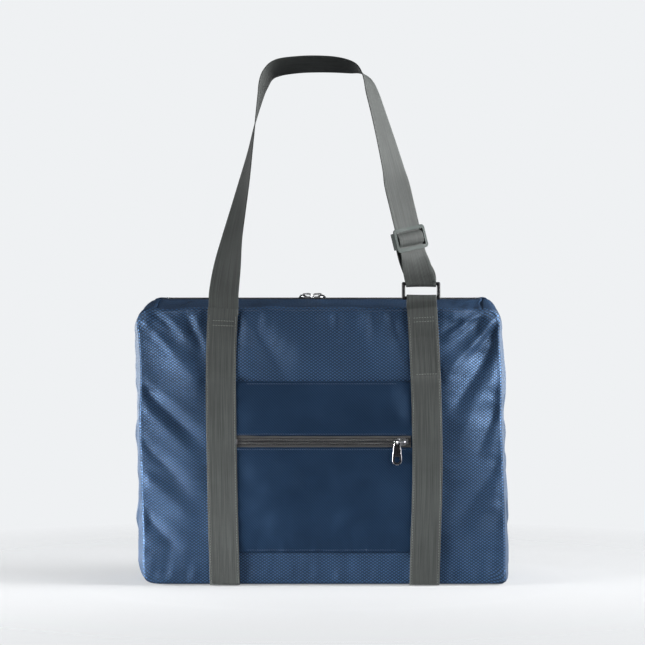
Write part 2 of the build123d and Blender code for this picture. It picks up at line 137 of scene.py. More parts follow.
def lengths(line):
    """Distance along a line of points, from its first."""
    return np.concatenate([[0], np.cumsum(np.linalg.norm(np.diff(line, axis=0), axis=1))])


def full_length(line):
    return float(lengths(line)[-1])


def at_distance(spots, line, values):
    """Rows of values at distances along a line."""
    distance = lengths(line)
    return stack(*(np.interp(spots, distance, column) for column in values.T))


# ---- meshes
def add_object(name, data):
    thing = bpy.data.objects.new(name, data)
    bpy.context.scene.collection.objects.link(thing)
    return thing


def new_piece(name, points, faces, material, slot, uvs=None):
    """A smooth-shaded mesh with one UV pair in metres for each point."""
    mesh = bpy.data.meshes.new(name)
    mesh.from_pydata([tuple(p) for p in points], [], [tuple(f) for f in faces])
    corners = np.zeros(len(mesh.loops), int)
    mesh.loops.foreach_get("vertex_index", corners)
    uvs = np.zeros((len(points), 2)) if uvs is None else uvs
    mesh.uv_layers.new(name="weave").data.foreach_set("uv", uvs[corners].ravel())
    mesh.polygons.foreach_set("use_smooth", [True] * len(mesh.polygons))
    mesh.materials.append(material)
    mesh.update()
    piece = add_object(name, mesh)
    return piece


def grid_faces(rows, cols, start=0, flip=False):
    index = start + np.arange(rows * cols).reshape(rows, cols)
    quads = stack(index[:-1, :-1], index[:-1, 1:], index[1:, 1:], index[1:, :-1]).reshape(-1, 4)
    return quads[:, ::-1] if flip else quads


def cloth(name, grid, uv, material, slot, thick=CLOTH):
    """A closed sheet whose outer face is the grid: rows run up and columns run right, seen from outside."""
    rows, cols, _ = grid.shape
    count = rows * cols
    outward = unit(np.cross(np.gradient(grid, axis=1), np.gradient(grid, axis=0)))
    index = np.arange(count).reshape(rows, cols)
    border = np.concatenate([index[0, :], index[1:, -1], index[-1, -2::-1], index[-2:0:-1, 0]])
    after = np.roll(border, -1)
    rim = stack(border, border + count, after + count, after)
    faces = np.concatenate([grid_faces(rows, cols), grid_faces(rows, cols, count, flip=True), rim])
    points = np.concatenate([grid, grid - outward * thick]).reshape(-1, 3)
    return new_piece(name, points, faces, material, slot, np.concatenate([uv, uv]).reshape(-1, 2))


def band_section(width, thick):
    """Outline of a webbing: flat faces and rounded edges."""
    half, r = width / 2 - thick / 2, thick / 2
    across = list(np.linspace(-half, half, 13))
    turn = np.linspace(pi / 2, -pi / 2, 7)[1:-1]
    outline = [(x, r) for x in across]
    outline += [(half + r * cos(a), r * sin(a)) for a in turn]
    outline += [(x, -r) for x in reversed(across)]
    outline += [(-half - r * cos(a), r * sin(a)) for a in reversed(turn)]
    return np.array(outline)


def band(name, line, out, material, slot, width=WEB_WIDTH, thick=WEB_THICK, start=0.0, sway=None):
    """Webbing along the middle of line, whose outer face looks towards out."""
    along = unit(np.gradient(line, axis=0))
    out = unit(out - along * np.sum(out * along, axis=1, keepdims=True))
    across = np.cross(out, along)
    section = band_section(width, thick)
    section = np.vstack([section, section[:1]])
    distance = lengths(line)[:, None]
    ring = line[:, None] + across[:, None] * section[:, :1] + out[:, None] * section[:, 1:]
    if sway is not None:
        ring = ring + out[:, None] * sway(section[None, :, 0], distance)[..., None]
    uv = stack(section[:, 0], start + distance).reshape(-1, 2)
    faces = grid_faces(*ring.shape[:2], flip=True)
    piece = new_piece(name, ring.reshape(-1, 3), faces, material, slot, uv)
    weld_and_cap(piece)
    return piece


def weld_and_cap(piece):
    mesh = bmesh.new()
    mesh.from_mesh(piece.data)
    bmesh.ops.remove_doubles(mesh, verts=mesh.verts, dist=1e-6)
    bmesh.ops.holes_fill(mesh, edges=[e for e in mesh.edges if e.is_boundary], sides=0)
    bmesh.ops.recalc_face_normals(mesh, faces=mesh.faces)
    mesh.to_mesh(piece.data)
    mesh.free()


def tube(line, radius, sides):
    """Points and faces of a tube along a line."""
    along = unit(np.gradient(line, axis=0))
    side = np.cross(along, [0.0, 0.0, 1.0])
    weak = np.linalg.norm(side, axis=1) < 0.2
    side[weak] = np.cross(along[weak], [0.0, 1.0, 0.0])
    side = unit(side)
    up = np.cross(side, along)
    angles = np.arange(sides)[:, None] * 2 * pi / sides
    ring = line[:, None] + radius * (np.cos(angles) * side[:, None] + np.sin(angles) * up[:, None])
    index = np.arange(len(line) * sides).reshape(-1, sides)
    after = np.roll(index, -1, axis=1)
    return ring.reshape(-1, 3), stack(index[:-1], after[:-1], after[1:], index[1:]).reshape(-1, 4)


def join_shapes(shapes):
    """One list of points and one of faces from several (points, faces)."""
    points, faces, total = [], [], 0
    for more_points, more_faces in shapes:
        points.append(more_points)
        faces.append(more_faces + total)
        total += len(more_points)
    return np.concatenate(points), np.concatenate(faces)


def stitches(name, lines, material, slot, pitch=0.0034, thread=0.00033):
    """Raised stitches along lines of (points, outward direction), each a short loop with sunk ends."""
    rise = np.array([-0.6, 0.5, 0.75, 0.5, -0.6])[:, None] * thread
    shapes = []
    for line, out in lines:
        for start in np.arange(pitch / 2, full_length(line) - pitch, pitch):
            spots = start + np.linspace(0, 0.72 * pitch, len(rise))
            place = at_distance(spots, line, line) + at_distance(spots, line, out) * rise
            shapes.append(tube(place, thread, 5))
    return new_piece(name, *join_shapes(shapes), material, slot)


# ---- materials
class Shader:
    """Short hand for building one node material."""

    def __init__(self, name):
        self.material = bpy.data.materials.new(name)
        self.material.use_nodes = True
        self.tree = self.material.node_tree
        self.surface = self.tree.nodes["Principled BSDF"]

    def put(self, value, socket):
        if hasattr(value, "is_output"):
            self.tree.links.new(value, socket)
        else:
            socket.default_value = value

    def node(self, kind, inputs=(), **settings):
        """Adds a node and gives its outputs."""
        node = self.tree.nodes.new("ShaderNode" + kind)
        for key, value in settings.items():
            setattr(node, key, value)
        for key, value in dict(inputs).items():
            self.put(value, node.inputs[key])
        return node.outputs

    def math(self, operation, a, b=0.0):
        return self.node("Math", {0: a, 1: b}, operation=operation)[0]

    def add(self, a, b):
        return self.math("ADD", a, b)

    def times(self, product, *factors):
        for factor in factors:
            product = self.math("MULTIPLY", product, factor)
        return product

    def lines(self, place, pitch):
        """0 on every line of that pitch and 1 half way between two."""
        return self.times(self.math("PINGPONG", self.math("DIVIDE", place, pitch), 0.5), 2.0)

    def mix(self, factor, a, b):
        return self.node("Mix", {0: factor, 6: a, 7: b}, data_type="RGBA")[2]

    def ramp(self, value, low, high, to_low=0.0, to_high=1.0):
        return self.node("MapRange", {0: value, 1: low, 2: high, 3: to_low, 4: to_high})[0]

    def patches(self, noise, low, high):
        """A noise spread over a range."""
        return self.ramp(noise, 0.3, 0.7, low, high)

    def weave_uv(self):
        split = self.node("SeparateXYZ", {0: self.node("UVMap", uv_map="weave")[0]})
        return split[0], split[1]

    def noise(self, scale, detail=3.0):
        place = self.node("TexCoord")["Object"]
        inputs = {"Vector": place, "Scale": scale, "Detail": detail, "Roughness": 0.55}
        return self.node("TexNoise", inputs)["Fac"]

    def bump(self, height, distance, strength=1.0, under=None):
        inputs = {"Height": height, "Distance": distance, "Strength": strength}
        if under is not None:
            inputs["Normal"] = under
        return self.node("Bump", inputs)[0]

    def set(self, **values):
        for key, value in values.items():
            self.put(value, self.surface.inputs[key.replace("_", " ")])
        return self.material


def ripstop():
    """Glossy nylon with a fine diamond relief."""
    s = Shader("ripstop_nylon")
    u, v = s.weave_uv()
    diamond_width, diamond_height, thread_pitch = 0.0054, 0.0038, 0.00042
    a, b = s.math("DIVIDE", u, diamond_width), s.math("DIVIDE", v, diamond_height)
    nearest = s.math("MINIMUM", s.lines(s.add(a, b), 1.0), s.lines(s.math("SUBTRACT", a, b), 1.0))
    cell = s.ramp(nearest, 0.10, 0.60)
    threads = s.times(s.lines(u, thread_pitch), s.lines(v, thread_pitch))
    shade = s.times(cell, s.patches(s.noise(14.0), 0.75, 1.0))
    relief = s.bump(threads, 0.00006, 0.3)
    relief = s.bump(cell, 0.00025, 0.6, relief)
    relief = s.bump(s.noise(60.0), 0.0014, 0.16, relief)
    return s.set(
        Base_Color=s.mix(shade, (0.0010, 0.0035, 0.010, 1), (0.028, 0.068, 0.146, 1)),
        Roughness=s.add(s.ramp(cell, 0, 1, 0.60, 0.45), s.patches(s.noise(220.0, 2.0), -0.03, 0.04)),
        Normal=relief,
        Metallic=s.ramp(cell, 0.0, 1.0, 0.10, 0.52),
        Specular_IOR_Level=0.35,
        Specular_Tint=(0.68, 0.83, 1.0, 1),
    )


def pocket_nylon():
    """The plainer, finer cloth of the pocket."""
    s = Shader("pocket_nylon")
    u, v = s.weave_uv()
    twill_pitch, thread_pitch = 0.0034, 0.0005
    cross_twill = s.lines(s.math("SUBTRACT", u, v), twill_pitch)
    twill = s.times(s.lines(s.add(u, v), twill_pitch), s.ramp(cross_twill, 0.0, 0.6, 0.5, 1.0))
    threads = s.times(s.lines(u, thread_pitch), s.lines(v, thread_pitch))
    clouds = s.noise(18.0)
    weave = s.times(s.ramp(twill, 0.1, 0.9, 0.35, 1.0), s.patches(clouds, 0.75, 1.0))
    relief = s.bump(threads, 0.00005, 0.4)
    relief = s.bump(twill, 0.00014, 0.6, relief)
    relief = s.bump(s.noise(50.0), 0.0012, 0.18, relief)
    return s.set(
        Base_Color=s.mix(weave, (0.0010, 0.0035, 0.009, 1), (0.0095, 0.024, 0.054, 1)),
        Roughness=s.patches(clouds, 0.46, 0.54),
        Normal=relief,
        Metallic=0.30,
        Specular_IOR_Level=0.26,
        Specular_Tint=(0.40, 0.65, 1.0, 1),
    )


def ribbed_webbing():
    """Fine lengthwise ribs, a paler smooth border down each edge and finer picks across."""
    s = Shader("webbing_ribbed")
    u, v = s.weave_uv()
    border_at = 0.0137  # from the middle to the groove beside each border
    ribs = s.lines(u, 0.00158)
    picks = s.lines(s.add(v, s.times(u, 0.25)), 0.0011)
    border = s.ramp(s.math("ABSOLUTE", u), border_at - 0.0005, border_at + 0.0005)
    valley = s.ramp(s.lines(s.add(u, border_at), 2 * border_at), 0.0, 0.05)
    drawn_out = s.node("CombineXYZ", {0: s.times(u, 700.0), 1: s.times(v, 12.0)})[0]
    streak_inputs = {"Vector": drawn_out, "Scale": 1.0, "Detail": 3.0}
    tone = s.times(
        s.ramp(ribs, 0.0, 0.8, 0.62, 1.0),
        s.ramp(picks, 0.0, 0.7, 0.70, 1.0),
        s.patches(s.node("TexNoise", streak_inputs, noise_dimensions="2D")["Fac"], 0.55, 1.25),
        s.patches(s.noise(26.0, 4.0), 0.80, 1.12),
        s.ramp(valley, 0.0, 1.0, 0.6, 1.0),
    )
    tone = s.add(tone, s.times(border, 0.12))
    relief = s.bump(s.noise(900.0, 2.0), 0.0001, 0.25)
    relief = s.bump(picks, 0.00012, 0.6, relief)
    relief = s.bump(s.times(ribs, valley), 0.00018, 0.7, relief)
    return s.set(
        Base_Color=s.mix(tone, (0.0065, 0.007, 0.0066, 1), (0.037, 0.0415, 0.0395, 1)),
        Roughness=0.70,
        Normal=relief,
        Sheen_Weight=0.06,
        Sheen_Roughness=0.4,
        Specular_IOR_Level=0.28,
    )


def zip_tape():
    """Herringbone tape, darker beside the chain."""
    s = Shader("zip_tape_cloth")
    u, v = s.weave_uv()
    herring = s.lines(s.add(u, s.math("PINGPONG", v, 0.0016)), 0.0009)
    tone = s.times(
        s.ramp(herring, 0, 0.8, 0.55, 1.0),
        s.ramp(s.lines(v, 0.0021), 0, 0.5, 0.6, 1.0),
        s.patches(s.noise(60.0), 0.85, 1.1),
    )
    outer = s.ramp(s.math("ABSOLUTE", v), 0.0040, 0.0050, 0.30, 1.25)
    colour = s.mix(s.times(tone, outer), (0.006, 0.006, 0.007, 1), (0.036, 0.036, 0.036, 1))
    relief = s.bump(tone, 0.00012, 0.8)
    return s.set(Base_Color=colour, Roughness=0.78, Normal=relief, Specular_IOR_Level=0.2)


def plastic(name, colour, scuff, rough):
    """Moulded plastic with a faint grain and rubbed, paler edges."""
    s = Shader(name)
    smear = s.noise(70.0, 4.0)
    worn = s.ramp(s.node("NewGeometry")["Pointiness"], 0.53, 0.62)
    tint = s.mix(s.ramp(smear, 0.35, 0.7, 0.0, 0.35), colour, scuff)
    tint = s.mix(s.times(worn, 0.6), tint, scuff)
    relief = s.bump(s.noise(1300.0, 2.0), 0.00003, 0.5)
    rubbed = s.patches(smear, rough - 0.06, rough + 0.08)
    return s.set(Base_Color=tint, Roughness=rubbed, Normal=relief, Specular_IOR_Level=0.22)


def nickel(name, bright, dull):
    s = Shader(name)
    smear = s.noise(160.0, 5.0)
    scratch = s.node("TexNoise", {"Scale": 2600.0, "Detail": 3.0})["Fac"]
    colour = s.mix(s.ramp(smear, 0.35, 0.7), bright, dull)
    rough = s.add(s.patches(smear, 0.24, 0.34), s.ramp(scratch, 0.4, 0.6, -0.02, 0.04))
    return s.set(Base_Color=colour, Roughness=rough, Normal=s.bump(smear, 0.00006, 0.25), Metallic=1.0)


def coil_nylon():
    s = Shader("coil_nylon")
    dust = s.noise(800.0, 2.0)
    colour = s.mix(s.ramp(dust, 0.4, 0.7), (0.006, 0.006, 0.007, 1), (0.016, 0.016, 0.018, 1))
    return s.set(Base_Color=colour, Roughness=s.patches(dust, 0.34, 0.46))


def twisted_thread(name, colour, pale):
    s = Shader(name)
    twist = s.patches(s.noise(1500.0, 2.0), 0.0, 1.0)
    return s.set(Base_Color=s.mix(twist, colour, pale), Roughness=0.6, Sheen_Weight=0.1)


def bias_tape():
    s = Shader("binding_cloth")
    u, v = s.weave_uv()
    weave = s.times(s.lines(u, 0.0008), s.lines(v, 0.0008))
    colour = s.mix(weave, (0.006, 0.010, 0.024, 1), (0.016, 0.026, 0.055, 1))
    return s.set(Base_Color=colour, Roughness=0.8, Normal=s.bump(weave, 0.0001, 0.7))


RIPSTOP = ripstop()
POCKET_CLOTH = pocket_nylon()
WEBBING = ribbed_webbing()
TAPE = zip_tape()
COIL = coil_nylon()
NICKEL = nickel("polished_nickel", (0.50, 0.50, 0.51, 1), (0.38, 0.38, 0.40, 1))
# The pulls' metal is the same nickel in painted shade: darkened to stand in for the dark room it reflects.
NICKEL_PAINTED_SHADE = nickel("nickel_painted_shade", (0.085, 0.085, 0.090, 1), (0.055, 0.055, 0.060, 1))
GLIDE = plastic("glide_plastic_grained", (0.015, 0.022, 0.020, 1), (0.028, 0.038, 0.035, 1), 0.62)
RING_PAINT = plastic("ring_black", (0.004, 0.004, 0.005, 1), (0.020, 0.020, 0.022, 1), 0.36)
WEB_THREAD = twisted_thread("webbing_thread", (0.045, 0.048, 0.045, 1), (0.090, 0.096, 0.092, 1))
NAVY_THREAD = twisted_thread("navy_thread", (0.008, 0.020, 0.052, 1), (0.022, 0.046, 0.10, 1))
BINDING = bias_tape()


# ---- the shell's shape
def rim_distance(x, z):
    """How far inside the front outline a point is."""
    qx, qz = abs(x) - STRAIGHT_X, abs(z - RIM_MID) - STRAIGHT_Z
    outside = np.hypot(np.maximum(qx, 0), np.maximum(qz, 0)) + np.minimum(np.maximum(qx, qz), 0)
    return np.maximum(RIM_R - outside, 0)


FOLD_DEPTH = 0.75
# Folds in millimetres: x and z of the start and of the end, half width and height of the ridge.
FRONT_FOLDS = [
    (222, 338, 150, 262, 8.5, 6.2),
    (229, 318, 168, 225, 8.0, -5.0),
    (205, 350, 151, 308, 6.0, 4.0),
    (186, 352, 150, 330, 4.5, 3.0),
    (231, 285, 176, 190, 10.0, 4.2),
    (231, 235, 200, 170, 7.0, -3.4),
    (232, 165, 172, 82, 11.0, -4.0),
    (228, 110, 160, 40, 12.0, 3.0),
    (-226, 338, -148, 248, 12.0, 5.0),
    (-176, 351, -147, 292, 6.0, -3.8),
    (-200, 350, -160, 300, 6.0, 3.2),
    (-230, 255, -168, 196, 7.5, -5.2),
    (-229, 232, -166, 168, 9.0, 4.0),
    (-229, 182, -176, 128, 8.0, -4.6),
    (-228, 140, -168, 90, 10.0, 3.6),
    (-229, 90, -186, 46, 8.0, -3.6),
    (-104, 352, -46, 262, 20.0, 8.5),
    (36, 346, 72, 262, 24.0, 4.0),
    (4, 349, 12, 318, 7.0, 2.2),
    (86, 345, 100, 300, 6.0, -2.0),
    (222, 346, 172, 338, 3.0, 3.0),
    (206, 350, 155, 324, 3.6, -3.2),
    (227, 338, 186, 296, 4.2, 4.0),
    (182, 351, 151, 342, 3.0, 2.6),
    (-222, 348, -190, 322, 3.4, 3.0),
    (-228, 334, -196, 296, 4.0, -3.4),
]
SIDE_FOLDS = [
    (0, 350, -46, 235, 11.0, 3.4),
    (4, 350, 50, 225, 11.0, 3.4),
    (0, 345, 2, 120, 13.0, -4.4),
    (-60, 205, 30, 150, 9.0, 3.0),
    (60, 135, -20, 80, 10.0, 2.8),
    (-60, 100, -4, 48, 8.0, -2.6),
]


def folds(x, z, listed):
    """Sum of soft-edged ridges, each with a shallow valley beside it."""
    total = 0.0
    for x0, z0, x1, z1, width, height in np.array(listed) / 1000:
        dx, dz = x1 - x0, z1 - z0
        length = hypot(dx, dz)
        along = ((x - x0) * dx + (z - z0) * dz) / length
        aside = ((x - x0) * -dz + (z - z0) * dx) / length
        aside = aside / (width * (0.75 + 0.6 * np.clip(along / length, 0, 1)))
        ends = smooth((along + 0.3 * length) / (0.45 * length))
        ends = ends * smooth((1.25 * length - along) / (0.5 * length))
        ridge = np.exp(-(abs(aside) ** 1.4)) - 0.45 * np.exp(-(abs(aside - 1.5) ** 1.6))
        total = total + height * ends * ridge
    return FOLD_DEPTH * total


# Middle of each webbing as (height, x): it wanders as sewn.
WEB_DRIFT = {
    -1: spline([(-0.02, -0.1225), (0.04, -0.1240), (0.15, -0.1262), (0.28, -0.1278), (0.37, -0.1250)]),
    1: spline([(-0.02, 0.1295), (0.04, 0.1305), (0.15, 0.1330), (0.27, 0.1308), (0.37, 0.1258)]),
}


def webbing_x(side, z):
    return np.interp(z, *WEB_DRIFT[side].T)


def past_webbing(x, z):
    """Distance past the nearest webbing's edge, and less than 0 under it."""
    return np.minimum(abs(x - webbing_x(-1, z)), abs(x - webbing_x(1, z))) - WEB_WIDTH / 2


def crown(x, z):
    """Smooth bulge of the front and the back past their seams."""
    height = np.clip(abs((z - RIM_MID) / RIM_HALF_H), 0, 1)
    aside = np.clip((abs(x) - 0.13) / (RIM_HALF_W - 0.13), 0, 1)
    return CROWN * (1 - height**2) * (1 - aside**1.8) ** 1.2


def panel_y(x, z, seed, listed):
    """How far a panel stands out past its seam: a crown, a sag, folds, and puckers beside what is sewn."""
    edge_x, edge_z = RIM_HALF_W - abs(x), RIM_HALF_H - abs(z - RIM_MID)
    total = 0.0013 * ripple(x, z, 0.12, seed) + 0.0004 * ripple(x + z, z, 0.05, seed + 1)
    total = total + 0.0021 * fading(edge_z, 0.024) * ripple(x, z, 0.016, seed + 2, 4.0)
    total = total + 0.0013 * fading(edge_x, 0.024) * ripple(z, x, 0.020, seed + 3, 4.0)
    total = total + folds(x, z, listed)
    web = past_webbing(x, z)
    total = total + 0.0011 * fading(web, 0.014) * ripple(z, x, 0.016, seed + 4, 3.5)
    total = total * smooth((web + 0.004) / 0.018)
    return crown(x, z) + total * smooth(rim_distance(x, z) / 0.012)


def front_y(x, z):
    return -SEAM_Y - panel_y(x, z, 11, FRONT_FOLDS)


def back_y(x, z):
    return SEAM_Y + panel_y(-x, z, 47, FRONT_FOLDS[3:14:2])


def settle(points):
    """Lets the shell slump: corners sag, the ends narrow towards the top, seams wander. What is sewn to the
    shell goes through it too, so that all stays together. The zippers and the strap's places stay put."""
    x, y, z = points[..., 0], points[..., 1], points[..., 2]
    reach = abs(x)
    by_zip = smooth((z - 0.34) / 0.01) * smooth((TAPE_EDGE_Y + 0.030 - abs(y)) / 0.025)
    ends = smooth((reach - 0.155 - 0.044 * by_zip) / (0.075 - 0.044 * by_zip))
    high = smooth((z - 0.19) / 0.165)
    edge = smooth((abs(y) - TAPE_EDGE_Y - 0.004) / 0.05)
    lean = ends * 0.0070 * (0.45 - z / RIM_HIGH)
    corner = smooth((reach - 0.176 - 0.023 * by_zip) / (0.056 - 0.023 * by_zip))
    tip = smooth((reach - 0.196) / 0.03) * smooth((z - 0.318) / 0.03)
    foot = 0.0070 * smooth((reach - 0.209) / 0.020) * smooth((0.0245 - z) / 0.018)
    foot = foot * np.where(x > 0, 1.0, 0.45)
    slump = 0.0048 * tip - corner * high * np.where(x < 0, 0.0052, 0.0024)
    narrow = -np.sign(y) * edge * ends * high * 0.0140
    wander_x = 0.0017 * ends * ripple(z, y, 0.10, 101, 1.5)
    wander_y = 0.0030 * edge * ends * ripple(x * 0.3 + z, z, 0.12, 103)
    top_wave = 0.0020 * edge * high * smooth(past_webbing(x, z) / 0.03) * ripple(x, x, 0.09, 105)
    out = np.sign(x) * (0.0042 * tip + foot - 0.001 * ends)
    moved = stack(x + lean + wander_x + out, y + narrow + wander_y, z + slump + top_wave - foot)
    moved[..., 2] = np.maximum(moved[..., 2], np.minimum(z, RIM_LOW))
    return moved


def rounded(x, z):
    """Draws the corners of a rectangular grid in to the rounded outline."""
    dx, dz = abs(x) - STRAIGHT_X, abs(z - RIM_MID) - STRAIGHT_Z
    inwards = np.maximum(dx, dz) / np.maximum(np.hypot(dx, dz), 1e-9) - 1
    inwards = np.where((dx > 0) & (dz > 0), inwards, 0.0)
    return x + np.sign(x) * dx * inwards, z + np.sign(z - RIM_MID) * dz * inwards


def shell_panel(name, node, surface, facing, body):
    """facing is 1 for the front and -1 for the back."""
    step = 0.003
    flat_x = np.linspace(-RIM_HALF_W, RIM_HALF_W, round(2 * RIM_HALF_W / step))[::facing]
    flat_z = np.linspace(RIM_LOW, RIM_HIGH, round(2 * RIM_HALF_H / step))
    x, z = rounded(*np.meshgrid(flat_x, flat_z))
    piece = cloth(name, settle(stack(x, surface(x, z), z)), stack(x, z), RIPSTOP, "shell_fabric")
    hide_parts(node)
    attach(piece, body)


def rim_line(start, end, count):
    """x, z and outward directions on the outline, anticlockwise from the middle of the bottom."""
    s = (np.linspace(start, end, count) - STRAIGHT_X) % RIM_LENGTH
    x, z, angle = np.zeros((3, count))
    at = 0.0
    corners = ((1, -1, STRAIGHT_Z), (1, 1, STRAIGHT_X), (-1, 1, STRAIGHT_Z), (-1, -1, STRAIGHT_X))
    for turns, (side_x, side_z, half_side) in enumerate(corners):
        past = s >= at
        turned = (turns - 1) * pi / 2 + np.clip((s - at) / RIM_R, 0, pi / 2)
        straight = np.maximum(s - at - ARC, 0)
        angle = np.where(past, turned, angle)
        x = np.where(past, side_x * STRAIGHT_X + RIM_R * np.cos(turned) - straight * np.sin(turned), x)
        z = np.where(past, side_z * STRAIGHT_Z + RIM_R * np.sin(turned) + straight * np.cos(turned), z)
        at += ARC + 2 * half_side
    return x, RIM_MID + z, np.cos(angle), np.sin(angle)


# Distances along the outline where the bottom, the right side, the top and the left side end.
BOTTOM_END = STRAIGHT_X
RIGHT_END = BOTTOM_END + 2 * (ARC + STRAIGHT_Z)
TOP_END = RIGHT_END + 2 * STRAIGHT_X
LEFT_END = TOP_END + 2 * (ARC + STRAIGHT_Z)
RIM_LENGTH = LEFT_END + BOTTOM_END


def gusset_out(x, z, nz, y, seed):
    """How far the gusset stands out past the outline at depth y."""
    v, crest = np.clip(abs(y) / SEAM_Y, 0, 1), TAPE_EDGE_Y / SEAM_Y
    gable = (CREST_Z - RIM_HIGH) * (1 - np.clip((v - crest) / (1 - crest), 0, 1))
    top = smooth(nz * 1.6 - 0.35) * smooth((RIM_HALF_W + 0.001 - abs(x)) / 0.026)
    side = 1 - abs(nz)
    bulge = (0.0072 + 0.0035 * smooth((0.30 - z) / 0.3)) * (1 - v**2.2)
    rough = 0.0007 * ripple(z + x, y, 0.060, seed) + 0.0004 * ripple(x + z, y, 0.022, seed + 1, 3.0)
    rough = rough + np.where(abs(nz) < 0.3, folds(y, z, SIDE_FOLDS), 0.0)
    ruffle = 0.0022 * ripple(x, y, 0.026, seed + 7, 2.5) * smooth((abs(x) - 0.150) / 0.03) * (1 - side)
    ruffle = ruffle * smooth((0.203 - abs(x)) / 0.014)
    wave = ((0.5 + 0.5 * side) * rough + ruffle) * smooth((1 - v) / 0.12) * np.where(nz < -0.8, 0.0, 1.0)
    quiet = np.where(nz > 0.8, smooth((abs(y) - TAPE_EDGE_Y) / 0.02), 1.0)
    return top * gable + side * (bulge - 0.0016 * hump(y, 0.004)) + wave * quiet


def gusset_piece(name, node, start, end, inner, rear, seed):
    """A stretch of the gusset: rows along the outline, from the middle or the zipper to one seam."""
    step, depth = 0.0035, SEAM_Y - inner
    along = np.linspace(start, end, round((end - start) / step))
    x, z, nx, nz = (column[:, None] for column in rim_line(start, end, len(along)))
    y = np.linspace(*((inner, SEAM_Y) if rear else (-SEAM_Y, -inner)), round(depth / step))
    out = gusset_out(x, z, nz, y, seed)
    grid = settle(stack(x + nx * out, y, z + nz * out))
    piece = cloth(f"{name}_cloth", grid, stack(y, along[:, None]), RIPSTOP, "shell_fabric")
    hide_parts(node)
    across_flatten(piece, rear)


def across_flatten(piece, rear):
    """Bakes the placement of the cloth between the front seam and the zipper, or the zipper and the back
    seam, into its mesh.
    """
    if rear:
        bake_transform(piece)
    else:
        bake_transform(piece)


def build_shell():
    for face, surface, facing, body in (("front", front_y, 1, "bag"), ("back", back_y, -1, "back")):
        shell_panel(f"{face}_cloth", f"{face}_panel", surface, facing, body)
    for node, start, end, seed, inner in (
        ("side_gusset_right", BOTTOM_END, RIGHT_END, 61, 0.0),
        ("side_gusset_left", TOP_END, LEFT_END, 71, 0.0),
        ("bottom_panel", LEFT_END, LEFT_END + 2 * BOTTOM_END, 81, 0.0),
        ("top_gusset", RIGHT_END, TOP_END, 91, TAPE_EDGE_Y),
    ):
        for rear, half in ((False, "front"), (True, "rear")):
            name = f"{node}_{half}"  # beside the zipper each half is its own node
            gusset_piece(name, name if inner else node, start, end, inner, rear, seed)


def build_seam_stitches():
    """Topstitching under the top seam, front and back."""
    half = STRAIGHT_X - 0.006
    x, z = np.linspace(-half, half, 320), RIM_HIGH - 0.0035
    for face, surface, sign, body in (("front", front_y, -1, "bag"), ("back", back_y, 1, "back")):
        line = settle(stack(x, surface(x, z) + sign * 0.0003, z))
        rows = [(line, stack(0 * x, float(sign), 0.0))]
        thread = stitches(f"top_seam_stitches_{face}", rows, NAVY_THREAD, "shell_fabric", thread=0.00026)
        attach(thread, body)


def build_bindings():
    """Bias tape over the raw edges of both seams, inside the bag."""
    inset = 0.0035
    x, z, nx, nz = rim_line(0, RIM_LENGTH - 0.002, 260)
    for end, side, body in (("front", -1, "bag"), ("rear", 1, "back")):
        line = settle(stack(x - nx * inset, side * (SEAM_Y - 0.0065), z - nz * inset))
        out = stack(nx, 0.0, nz)
        piece = band(f"{end}_binding", line, out, BINDING, "binding", width=0.009, thick=0.0012)
        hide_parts(f"{end}_seam_binding")
        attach(piece, body)


build_shell()
build_seam_stitches()
build_bindings()


# ---- webbing sewn to the shell
def front_lift(z):
    """Middle of the front webbing over the shell: over the pocket, close, then over the strap's end."""
    over_pocket = (POCKET_STAND + 0.0002) * smooth((0.272 - z) / 0.016)
    over_strap = 0.0042 * smooth((z - 0.305) / 0.03)
    return WEB_THICK / 2 + np.maximum(WEB_LIFT, over_pocket + over_strap)


def back_lift(z):
    return WEB_THICK / 2 + WEB_LIFT


def surface_line(side, high, surface, lift):
    """Middle line and outward directions of a webbing lying on the front or back panel."""
    z = np.linspace(0.0015, high, 150)
    x = webbing_x(side, z)
    sign = -1 if surface is front_y else 1
    half = WEB_WIDTH / 2 - 0.002
    y = (surface(x - half, z) + surface(x, z) * 2 + surface(x + half, z)) / 4
    y = np.convolve(np.pad(y, 4, mode="edge"), np.ones(9) / 9, mode="valid")
    line = stack(x, y + sign * lift(z), z)
    out = unit(np.cross(np.gradient(line, axis=0), [1.0, 0, 0]))
    return line, np.where((out[:, 1] * sign < 0)[:, None], -out, out)


def stitch_rows(line, out, across_at):
    """Stitching along both edges of a webbing and across it at distances from its top."""
    across = np.cross(out, unit(np.gradient(line, axis=0)))
    top = line + out * (WEB_THICK / 2 + 0.0001)
    rows = [(top + across * side * (WEB_WIDTH / 2 - 0.0022), out) for side in (-1, 1)]
    spread = np.linspace(-1, 1, 24)[:, None] * (WEB_WIDTH / 2 - 0.003)
    for down in across_at:
        at = full_length(line) - down
        place, aside, up = (at_distance(at, line, values) for values in (top, across, out))
        rows.append((place + aside * spread, np.broadcast_to(up, (len(spread), 3))))
    return rows


def web_sway(side):
    """The webbing's own slight curl and crease lines."""

    def sway(across, along):
        curl = 0.0003 * (across / WEB_WIDTH * 2) ** 2
        crease = 0.0005 * hump(along - 0.262 + across * 0.1 * side, 0.0022)
        return curl + crease + 0.0003 * ripple(across, along, 0.05, 5 + side, 2.0)

    return sway


def round_bar(x, y, z, radius, over, count):
    """Rows of a line and its outward direction, over a bar from front to back, or under it at -1."""
    angles = np.linspace(0, pi, count)
    cosine, sine = np.cos(angles), over * np.sin(angles)
    return stack(x, y - radius * cosine, z + radius * sine, 0.0, -cosine, sine)


